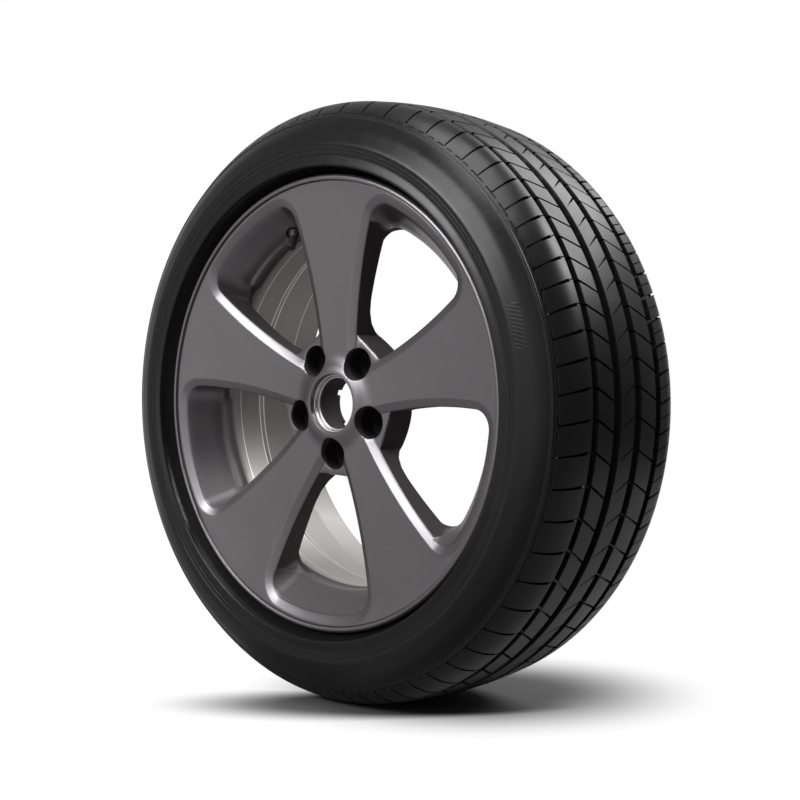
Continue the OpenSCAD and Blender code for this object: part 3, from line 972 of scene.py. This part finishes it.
# Where each finish and the painted shade lie: radii, and places along the axle line, in metres
BARREL_R, BARREL_FRONT = 0.190, -0.004
CAP_SEAT_INNER, CAP_SEAT_OUTER, CAP_SEAT_FLOOR = 0.0260, 0.0330, -0.0330
POCKETS_INNER, POCKETS_OUTER, POCKETS_TOP = 0.031, 0.073, -0.033
SPOKE_END = 0.1945
OUTER_WALL_R, OUTER_WALL_TOP, OUTER_WALL_FOOT = 0.1955, -0.0525, -0.006
# Dark and light end of each colour, and the plain colours
PAINT = (0.175, 0.164, 0.172, 1), (0.275, 0.257, 0.270, 1)
SILVER = (0.19, 0.182, 0.175, 1), (0.29, 0.275, 0.268, 1)
# Painted shade on steep walls and the lower outer wall, and deeper painted shade in the bolt pockets
SHADE_COLOURS = (0.070, 0.060, 0.063, 1), (0.018, 0.015, 0.016, 1)
# Painted highlights on the barrel: towards its bottom, and along its edges
LOW_HIGHLIGHT, EDGE_HIGHLIGHT = (0.70, 0.68, 0.67, 1), (0.80, 0.78, 0.76, 1)
RING_SILVER = (0.85, 0.83, 0.82, 1)


def barrel_silver_and_highlights(shader, tone, y, z):
    """The barrel's plain silver, with a painted highlight towards the bottom and painted highlights on
    its edges.
    """
    edges = sum(y.near(place, half, 0.0003) for place, half in BARREL_HIGHLIGHTS)
    # Lighter towards the bottom: painted highlight
    silver = shader.mix(z.below(-0.14, 0.08) * 0.62, shader.mix(tone, *SILVER), LOW_HIGHLIGHT)
    return shader.mix(edges, silver, EDGE_HIGHLIGHT)


def painted_shade(shader, radius, y, z, seat):
    """Painted shade on the steep walls, down in the bolt pockets and low on the outer wall, and the
    pockets' own mask.
    """
    walls = shader.steepness() * radius.below(SPOKE_END, 0.0015) * y.below(0.0, 0.004)
    pockets = (y.above(POCKETS_TOP, 0.002) * radius.above(POCKETS_INNER, 0.001)
               * radius.below(POCKETS_OUTER, 0.001))
    outer_wall = (radius.above(OUTER_WALL_R, 0.001) * y.above(OUTER_WALL_TOP, 0.0008)
                  * y.below(OUTER_WALL_FOOT, 0.002))
    shade = (walls * (1.0 - seat)).math("MAXIMUM", pockets * y.below(0.0, 0.002))
    # The outer wall is darker towards the bottom: painted shade
    return shade.math("MAXIMUM", outer_wall * z.below(-0.10, 0.06) * 0.65), pockets


def rim_paint():
    shader = Shader("rim_paint")
    flakes = shader.node("ShaderNodeTexVoronoi", {}, Vector=shader.place(), Scale=2600.0,
                         out="Color")
    sparkle = shader.node("ShaderNodeSeparateColor", {}, flakes)
    cloud = shader.noise(22.0, 3.0)
    peel = shader.noise(420.0)
    tone = sparkle * 0.55 + cloud * 0.25
    x, y, z = shader.parts(shader.place())
    radius = shader.radius()
    barrel = radius.above(BARREL_R, 0.002) * y.above(BARREL_FRONT, 0.002)
    seat = (radius.above(CAP_SEAT_INNER, 0.0001) * radius.below(CAP_SEAT_OUTER, 0.0010)
            * y.below(CAP_SEAT_FLOOR, 0.0006))
    # Painted shade on steep walls, down in the bolt pockets and low on the outer wall
    shade, pockets = painted_shade(shader, radius, y, z, seat)
    paint_and_highlights = shader.mix(barrel, shader.mix(tone, *PAINT), barrel_silver_and_highlights(shader, tone, y, z))
    colour = shader.mix(shade, paint_and_highlights, shader.mix(pockets, *SHADE_COLOURS))
    colour = shader.mix(sum(radius.near(*ring) for ring in SEAT_RINGS) * seat, colour, RING_SILVER)
    rough = 0.36 + barrel * 0.10 + shade * 0.50 + (cloud - 0.5) * 0.06 + (sparkle - 0.5) * 0.08
    dish = (radius - DISH_MIDDLE) ** 2.0 * (DISH_SLOPE / (2 * DISH_REACH))
    hollow = shader.bump(dish, 1.0, 1.0)
    return shader.finish(Base_Color=colour, Metallic=0.85 - shade * 0.5, Roughness=rough,
                         Coat_Weight=0.5 - shade * 0.5, Coat_Roughness=0.12,
                         Normal=shader.bump(peel * 0.5 + sparkle * 0.2, 0.10, 0.0001, hollow))


# %% [markdown]
# ## Small finishes
# The valve is seen from close by only, but each of its pieces still has its own surface: dull
# moulded rubber, turned brass, drawn steel and a hard plastic cap.

# %% Valve finishes
def moulded(name, level, rough, scale):
    shader = Shader(name)
    grain = shader.noise(scale, 3.0)
    colour = shader.mix(grain, grey(level * 0.8), grey(level * 1.25, 0.02))
    return shader.finish(Base_Color=colour, Roughness=rough + (grain - 0.5) * 0.15,
                         Normal=shader.bump(grain, 0.25, 0.00008))


def turned_metal(name, dark, light, rough):
    shader = Shader(name)
    marks = shader.noise(3200.0)
    stain = shader.noise(300.0, 3.0)
    colour = shader.mix(marks * 0.5 + stain * 0.5, dark, light)
    return shader.finish(Base_Color=colour, Metallic=1.0, Roughness=rough + (stain - 0.5) * 0.2,
                         Normal=shader.bump(marks, 0.15, 0.00005))


def red_seal():
    shader = Shader("red_seal")
    grain = shader.noise(1500.0)
    colour = shader.mix(grain, (0.36, 0.05, 0.04, 1), (0.50, 0.09, 0.06, 1))
    return shader.finish(Base_Color=colour, Roughness=0.55)


FINISHES = {
    "tyre": tyre_rubber(),
    "rim_paint": rim_paint(),
    "valve_rubber": moulded("valve_rubber", 0.028, 0.5, 900.0),
    "brass": turned_metal("valve_brass", (0.50, 0.36, 0.15, 1), (0.72, 0.55, 0.27, 1), 0.30),
    "steel": turned_metal("core_steel", (0.40, 0.40, 0.40, 1), (0.60, 0.60, 0.60, 1), 0.28),
    "seal_rubber": red_seal(),
    "cap_plastic": moulded("cap_plastic", 0.022, 0.38, 1200.0),
}
print("finishes:", ", ".join(FINISHES))


def give_finish(piece, slot):
    piece.data.materials.clear()
    piece.data.materials.append(FINISHES[slot])


# %% [markdown]
# ## Dressing the model
# The two modelled pieces take the place of their nodes. The valve's nodes are right as they are
# and only get their finish.

# %% Put the pieces on their bodies
give_finish(smooth(stand_up(tyre_cover)), "tyre")
give_finish(smooth(stand_up(rim_casting)), "rim_paint")
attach(tyre_cover, "wheel")
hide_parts("tyre")
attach(rim_casting, "wheel")
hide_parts("rim")

NODE_SLOTS = {part["node"]: part["material_slot"] for part in frame["record"].get("subparts", [])}
for node, piece in frame["nodes"].items():
    if node not in ("tyre", "rim"):
        give_finish(piece, NODE_SLOTS[node])

# %% [markdown]
# ## Studio
# The wheel stands on a pale floor in front of a white backdrop. Soft lamps hang high behind it,
# where the photograph's tread shines, high in front, low on the left, high on the right and
# overhead. The room that gloss and shadow see is white behind the wheel, grey on the left and
# dark on the right, as with a black screen there, and only the camera sees white all round. The
# floor turns into the backdrop a little way off.

# %% Floor, lamps and world
GROUND_Z = -(TREAD_R - FLAT_DROP) * MM
# Ovals in which the floor keeps its own shading on its dark grey colour, so that round the real
# shadow under the wheel it shows a painted shadow, the first two for the camera and the last for
# gloss: middle, squeeze across, inner and outer reach
SHADOW_STREAK = ((0.058, 0.018), 3.0, 0.13, 0.29)
SHADOW_PATCH = ((0.07, 0.11), 1.25, 0.08, 0.27)
GLOSS = ((0.0, 0.04), 2.0, 0.16, 0.34)
BACKDROP_SIDE, ACROSS, SCREEN_SIDE = (-0.667, 0.745), (0.745, 0.667), (0.90, 0.43)
PANEL_SIDE = (0.447, -0.400, -0.800)
ROOM_LOW, ROOM_HIGH, SCREEN_LEVEL, BACKDROP_GLOSS = 0.17, 0.62, 0.03, 0.45
FLOOR_DIRECTION, FLOOR_LEVEL, FLOOR_BESIDE, FLOOR_REACH = -0.4, 0.13, 0.32, 1.2
# Where each part of the room's light begins, and how soft its edge is
SCREEN_EDGE, BACKDROP_EDGE, PANEL_EDGE = (0.20, 0.30), (0.60, 0.25), (0.0, 0.30)
BESIDE_EDGE = (0.55, 0.30)
NEAR_DIM = 0.7
WORLD_FILL = 0.75


def room_level(shader, x, y, z):
    """How bright the room is in a direction: 1 is the white of the backdrop."""
    screen = (x * SCREEN_SIDE[0] + y * SCREEN_SIDE[1]).above(*SCREEN_EDGE)
    backdrop = (x * BACKDROP_SIDE[0] + y * BACKDROP_SIDE[1]).above(*BACKDROP_EDGE)
    panel = (x * PANEL_SIDE[0] + y * PANEL_SIDE[1] + z * PANEL_SIDE[2]).above(*PANEL_EDGE)
    room = (panel * (ROOM_HIGH - ROOM_LOW) + ROOM_LOW) * (1.0 - screen) + screen * SCREEN_LEVEL
    return room + (BACKDROP_GLOSS - room) * backdrop


def outside(shader, oval):
    """0 inside an oval on the floor, and 1 beyond it. Its long way lies across the view."""
    middle, squeeze, inner, outer = oval
    x, y, z = shader.parts(shader.place())
    x, y = x - middle[0], y - middle[1]
    along = x * ACROSS[0] + y * ACROSS[1]
    deep = (x * BACKDROP_SIDE[0] + y * BACKDROP_SIDE[1]) * squeeze
    return ((along * along + deep * deep) ** 0.5).above((inner + outer) / 2, (outer - inner) / 2)


def make_floor():
    clear_selection()
    bpy.ops.mesh.primitive_plane_add(size=60, location=(0, 0, GROUND_Z))
    floor = bpy.context.object
    floor.name = "floor"
    bpy.ops.object.transform_apply(location=True)
    shader = Shader("floor_white")
    x, y, z = shader.parts(shader.place())
    away = (x * x + y * y) ** 0.5
    camera, other = shader.shows_background()
    near = away.below(FLOOR_REACH, 0.2)
    beside = ((x * ACROSS[0] + y * ACROSS[1]) / away).above(*BESIDE_EDGE)
    dim = room_level(shader, x / away, y / away, FLOOR_DIRECTION) * (1.0 - near * NEAR_DIM)
    dim = dim + near * (beside * FLOOR_BESIDE + FLOOR_LEVEL)
    glow = shader.node("ShaderNodeEmission", {}, (1, 1, 1, 1), camera + (1.0 - camera) * dim)
    # Inside these ovals the camera sees the dark grey floor: a painted shadow round the real one
    seen = outside(shader, SHADOW_STREAK).math("MINIMUM", outside(shader, SHADOW_PATCH))
    fading = camera * seen + other * outside(shader, GLOSS)
    share = shader.node("ShaderNodeMixShader", {}, fading,
                        Value(shader, shader.surface.outputs[0]), glow)
    shader.fill(shader.tree.nodes["Material Output"].inputs[0], share)
    # The floor's dark grey colour deepens its shadow near the wheel: painted shadow
    shader.finish(Base_Color=grey(0.13), Roughness=0.9)
    floor.data.materials.append(shader.material)


def make_lamp(name, place, target, size, watts):
    data = bpy.data.lights.new(name, "AREA")
    data.shape = "RECTANGLE"
    data.size, data.size_y = size
    data.energy = watts
    lamp = bpy.data.objects.new(name, data)
    bpy.context.scene.collection.objects.link(lamp)
    lamp.location = place
    lamp.rotation_euler = (Vector(target) - Vector(place)).to_track_quat("-Z", "Y").to_euler()


def make_world():
    world = bpy.data.worlds.new("studio")
    bpy.context.scene.world = world
    shader = Shader("studio", world)
    x, y, z = shader.parts(shader.node("ShaderNodeTexCoord", {}, out="Generated"))
    camera, other = shader.shows_background()
    level = camera + room_level(shader, x, y, z) * (other + (1.0 - camera - other) * WORLD_FILL)
    shader.finish(Color=(1, 1, 1, 1), Strength=level)


make_floor()
make_world()
make_lamp("high_behind", (0.75, 1.65, 1.75), (0.1, 0.1, 0.1), (2.2, 1.1), 31)
make_lamp("high_front", (-0.35, -2.45, 1.6), (0, 0, 0), (1.2, 1.5), 34)
make_lamp("low_left", (-1.05, -2.32, 1.33), (0, 0, 0), (0.8, 0.7), 16)
make_lamp("high_right", (1.5, 1.1, 1.55), (0.1, 0, 0.1), (0.9, 0.9), 22)
make_lamp("overhead", (0.40, -0.55, 2.4), (0.1, 0, 0), (1.3, 1.9), 36)
bpy.context.scene.view_settings.view_transform = "Standard"
